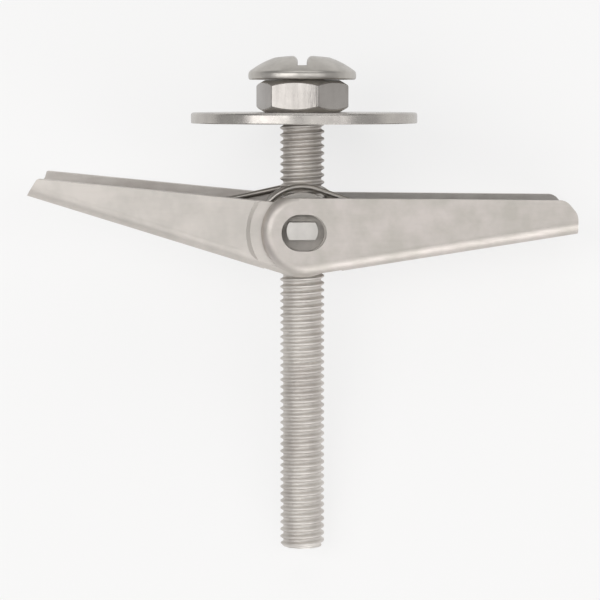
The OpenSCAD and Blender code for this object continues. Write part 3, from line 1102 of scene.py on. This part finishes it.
@dataclass
class TorsionSpring:
    """The double torsion spring: a coil and a leg for each wing, joined by an arch of wire.

    The arch rides with the barrel; the coils and the legs are not given to any body and stay
    where they are drawn. A lane is how far from the middle a coil starts or ends, and cross_at
    is the angle at which the wire crosses over.
    The ends of the legs are given as x and as height over the hinge.
    """

    wire_r: float = 0.325
    coil_r: float = 4.725
    lane_in: float = 2.925
    lane_out: float = 3.707
    cross_at: float = 49.0
    cross_bend: float = 0.8
    right_end: Pair = (17.0, -1.033)
    left_end: Pair = (-17.012, 1.133)
    step: float = 5.0
    round_steps: int = 16
    arch_steps: int = 8
    hinge_z: float = field(init=False)
    spans: dict[Side, Pair] = field(init=False)
    tree: bpy.types.NodeTree = field(init=False)

    @property
    def bend(self) -> float:
        """The angle of the coil that each bend of the crossing takes, in degrees."""
        return math.degrees(self.cross_bend / self.coil_r)

    def on_coil(self, turn: float, y: float) -> Point:
        """A point of the coil at an angle in degrees above +x."""
        a = math.radians(turn)
        return (self.coil_r * math.cos(a), y, self.coil_r * math.sin(a) + self.hinge_z)

    def coil(self, start: float, end: float, side: Side) -> list[Point]:
        """Draws a part of a side's coil, which moves out as it winds.

        Args:
            start: the angle in degrees above +x where the part starts.
            end: the angle where it ends.
            side: the coil's side.

        Returns:
            The points along it.
        """
        first, last = self.spans[side]
        count = max(2, round(abs(end - start) / self.step))
        points = []
        for k in range(count + 1):
            turn = start + (end - start) * k / count
            share = (turn - first) / (last - first)
            lane = self.lane_in + share * (self.lane_out - self.lane_in)
            points.append(self.on_coil(turn, -side.value * lane))
        return points

    def leg_angle(self, end: Pair) -> float:
        """The angle at which a leg that ends there leaves the coil as a tangent."""
        reach = math.hypot(*end)
        return math.degrees(math.atan2(end[1], abs(end[0])) + math.acos(self.coil_r / reach))

    def arch(self) -> list[Point]:
        """Draws the wire that crosses over from one coil to the other.

        Returns:
            The points along it.
        """
        near, far = self.spans[Side.RIGHT][0], self.spans[Side.LEFT][0]
        points = self.coil(360.0, near, Side.RIGHT)
        for k in range(1, self.arch_steps + 1):
            b = math.pi / 2 * k / self.arch_steps
            points.append(self.on_coil(near + self.bend * math.sin(b),
                                       -self.lane_in + self.cross_bend * (1 - math.cos(b))))
        for k in range(self.arch_steps):
            b = math.pi / 2 * k / self.arch_steps
            points.append(self.on_coil(self.cross_at + self.bend * (1 - math.cos(b)),
                                       self.lane_in - self.cross_bend * (1 - math.sin(b))))
        return points + self.coil(far, 180.0, Side.LEFT)

    def tube(self, name: str, path: Sequence[Point], sizes: dict[str, Any]) -> bpy.types.Object:
        """Sweeps the round wire along a path.

        Args:
            name: the piece's name.
            path: the points along the middle of the wire.
            sizes: the value of each of the tree's named inputs.

        Returns:
            The piece, drawn in the screw's frame.
        """
        curve = bpy.data.curves.new(name + "_path", "CURVE")
        curve.dimensions = "3D"
        spline = curve.splines.new("POLY")
        spline.points.add(len(path) - 1)
        for place, point in zip(spline.points, path):
            place.co = (*point, 1.0)
        return run_tree(curve, name, self.tree, sizes)

    def build(self, dresser: Dresser) -> None:
        """Builds the arch, and a coil and a leg for each side.

        Args:
            dresser: gives the finish and the screw's frame.
        """
        screw = dresser.screw
        self.hinge_z = screw.hinge_z
        right_leaves = self.leg_angle(self.right_end)
        left_leaves = 540.0 - self.leg_angle(self.left_end)
        self.spans = {Side.RIGHT: (360.0 + self.cross_at - self.bend, right_leaves),
                      Side.LEFT: (self.cross_at + self.bend, left_leaves)}
        sizes = {"Wire Radius": self.wire_r, "Sides": self.round_steps,
                 "Finish": dresser.materials["wire"]}
        self.tree, given = geometry_tree("spring_wire", sizes, source=True)
        ring = add(self.tree, "GeometryNodeCurvePrimitiveCircle",
                   {"Resolution": given.outputs["Sides"],
                    "Radius": given.outputs["Wire Radius"]})
        swept = add(self.tree, "GeometryNodeCurveToMesh",
                    {"Curve": given.outputs["Path"], "Profile Curve": ring, "Fill Caps": True})
        finish_tree(self.tree, swept, given.outputs["Finish"])

        legs = {side: (end[0], -side.value * self.lane_out, end[1] + self.hinge_z)
                for side, end in ((Side.RIGHT, self.right_end), (Side.LEFT, self.left_end))}
        r = self.coil_r
        right_x, left_x = (r * math.cos(math.radians(a)) for a in (right_leaves, left_leaves))
        # Each coil and leg comes with two x values, half way where a coil meets its leg; they are
        # computed below but not used.
        parts = [
            ("spring_arch", self.arch(), None),
            ("right_spring_coil", self.coil(180.0, 360.0, Side.RIGHT), (r, -3 * r)),
            ("right_spring_leg", [legs[Side.RIGHT], *self.coil(right_leaves, 180.0, Side.RIGHT)],
             (-right_x - 2 * r, right_x)),
            ("left_spring_coil", self.coil(180.0, 360.0, Side.LEFT), (-r, 3 * r)),
            ("left_spring_leg", [*self.coil(360.0, left_leaves, Side.LEFT), legs[Side.LEFT]],
             (2 * r - left_x, left_x)),
        ]
        for name, path, ends in parts:
            piece = screw.place(self.tube(name, path, sizes))
            outward(piece)
            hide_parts("torsion_spring")
            if ends is None:
                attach(piece, "toggle_nut")
            else:
                screw.point(ends[0], 0, self.hinge_z)
                screw.point(ends[1], 0, self.hinge_z)
                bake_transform(piece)
            log.info("%s: %d faces", name, len(piece.data.polygons))


# ---- Studio ----


@dataclass
class Softbox:
    """A soft light, a rectangle that faces the fastener.

    Its angles are in degrees, its distance and its two sides in metres.
    """

    name: str
    across: float
    up: float
    distance: float
    width: float
    height: float
    radiance: float

    def build(self, camera: bpy.types.Object, target: Vector) -> None:
        """Hangs the light at an angle across and up from the camera's line of sight.

        Args:
            camera: the camera.
            target: the point that the light faces.
        """
        turn = camera.matrix_world.to_3x3()
        a, e = math.radians(self.across), math.radians(self.up)
        way = turn @ Vector((math.sin(a) * math.cos(e), math.sin(e), math.cos(a) * math.cos(e)))
        data = bpy.data.lights.new(self.name, "AREA")
        data.shape = "RECTANGLE"
        data.size, data.size_y = self.width, self.height
        data.energy = self.radiance * math.pi * self.width * self.height
        lamp = new_object(self.name, data)
        lamp.location = target + way * self.distance
        lamp.rotation_euler = way.to_track_quat("Z", "Y").to_euler()


@dataclass
class Studio:
    """A pale floor, an even pale surround, softboxes and the camera.

    The camera's distance, its aim and the width seen there are in millimetres, as in the
    screw's frame, and its pitch is in degrees. Half the floor's width is in metres.
    """

    world_grey: float = 0.315
    floor_colour: str = "#E6E4E2"
    floor_glow: float = 0.75
    floor_half: float = 1.0
    distance: float = 280.0
    pitch: float = 4.7
    aim: Point = (-0.25, 0.0, -19.6)
    seen: float = 66.7
    boxes: list[Softbox] = field(default_factory=lambda: [
        Softbox("key_left", -35, 5, 0.6, 0.27, 0.5, 2.38),
        Softbox("fill_right", 24, 5, 0.6, 0.2, 0.5, 1.44),
        Softbox("front", -2, 4, 0.9, 0.3, 0.6, 0.54),
        Softbox("top", 0, 62, 0.6, 0.7, 0.35, 0.99),
        Softbox("low_left", -15, -32, 0.8, 0.5, 0.25, 1.17),
        Softbox("below_right", 40, -55, 0.6, 0.5, 0.4, 2.34),
        Softbox("below_left", -35, -50, 0.6, 0.4, 0.4, 0.54),
        Softbox("side_left", -75, 8, 0.6, 0.4, 0.5, 0.18),
        Softbox("side_right", 65, 8, 0.6, 0.4, 0.5, 0.29),
        Softbox("high_right", 34, 38, 0.7, 0.35, 0.35, 0.16),
    ])

    def camera(self, screw: ScrewFrame) -> bpy.types.Object:
        """Sets the camera over the lying fastener, looking at its near cheeks.

        Args:
            screw: the screw's frame.

        Returns:
            The camera.
        """
        data = bpy.data.cameras.new("camera")
        data.sensor_width = 36.0
        data.lens = data.sensor_width / 2 / (self.seen / 2 / self.distance)
        data.clip_start, data.clip_end = 0.01, 10.0
        camera = new_object("camera", data)
        bpy.context.scene.camera = camera
        p = math.radians(self.pitch)
        target = screw.point(*self.aim)
        spot = screw.point(self.aim[0], -self.distance * math.cos(p),
                           self.aim[2] + self.distance * math.sin(p))
        back = (spot - target).normalized()
        along = (screw.point(1, 0, 0) - screw.point(0, 0, 0)).normalized()
        up = back.cross(along).normalized()
        right = up.cross(back)
        turn = Matrix((right, up, back)).transposed().to_4x4()
        camera.matrix_world = Matrix.Translation(spot) @ turn
        return camera

    def floor(self) -> None:
        """Lays the floor that the fastener rests on, white to the eye and with its shadow."""
        half, low = self.floor_half, CAD_BOX[0].z
        mesh = bpy.data.meshes.new("floor")
        mesh.from_pydata([(-half, -half, low), (half, -half, low), (half, half, low),
                          (-half, half, low)], [], [(0, 1, 2, 3)])
        made = bpy.data.materials.new("pale_floor")
        made.use_nodes = True
        tree = made.node_tree
        tree.nodes.clear()
        path = add(tree, "ShaderNodeLightPath")
        seen = add(tree, "ShaderNodeMath", {0: path.outputs["Is Camera Ray"],
                                            1: path.outputs["Is Glossy Ray"]},
                   operation="MAXIMUM")
        seen = add(tree, "ShaderNodeMath", {0: seen, 1: path.outputs["Is Transmission Ray"]},
                   operation="MAXIMUM")
        share = add(tree, "ShaderNodeMath", {0: seen, 1: self.floor_glow}, operation="MULTIPLY")
        matt = add(tree, "ShaderNodeBsdfDiffuse", {"Color": linear(self.floor_colour)})
        white = add(tree, "ShaderNodeEmission", {"Color": linear("#FFFFFF"), "Strength": 1.0})
        both = add(tree, "ShaderNodeMixShader", {0: share, 1: matt, 2: white})
        add(tree, "ShaderNodeOutputMaterial", {"Surface": both})
        mesh.materials.append(made)
        new_object("floor", mesh)

    def world(self) -> None:
        """Fills the surround with an even pale grey."""
        world = bpy.data.worlds.new("surround")
        bpy.context.scene.world = world
        world.use_nodes = True
        world.node_tree.nodes.clear()
        grey = (self.world_grey, self.world_grey, self.world_grey, 1.0)
        even = add(world.node_tree, "ShaderNodeBackground", {"Color": grey, "Strength": 1.0})
        add(world.node_tree, "ShaderNodeOutputWorld", {"Surface": even})

    def build(self, screw: ScrewFrame) -> None:
        """Sets up the whole studio.

        Args:
            screw: the screw's frame.
        """
        bpy.context.scene.view_settings.view_transform = "Standard"
        camera = self.camera(screw)
        bpy.context.view_layer.update()
        self.floor()
        self.world()
        target = screw.point(*self.aim)
        for box in self.boxes:
            box.build(camera, target)


def main() -> None:
    """Builds the studio and every piece."""
    logging.basicConfig(level=logging.INFO, format="%(name)s: %(message)s")
    screw = ScrewFrame(frame["record"])
    Studio().build(screw)
    dresser = Dresser(screw, Finishes())
    pieces: list[Callable[[Dresser], None]] = [
        MachineScrew().build,
        HexNut().build,
        FlatWasher().build,
        BarrelNut().build,
        # Right wing: painted highlight on its rounded edges. Left wing: painted shade on them. Both:
        # painted shade inside the channel.
        Wing("wing_right", "right_wing", "outer_wing", "outer_channel_shade", "edge",
             edge=0.3, corner=0.5).build,
        Wing("wing_left", "left_wing", "inner_wing", "inner_channel_shade", "edge_painted_shade",
             edge=0.16, corner=0.2, drawn_out=1.1).build,
        TorsionSpring().build,
    ]
    for build in pieces:
        build(dresser)


if __name__ == "__main__":
    main()
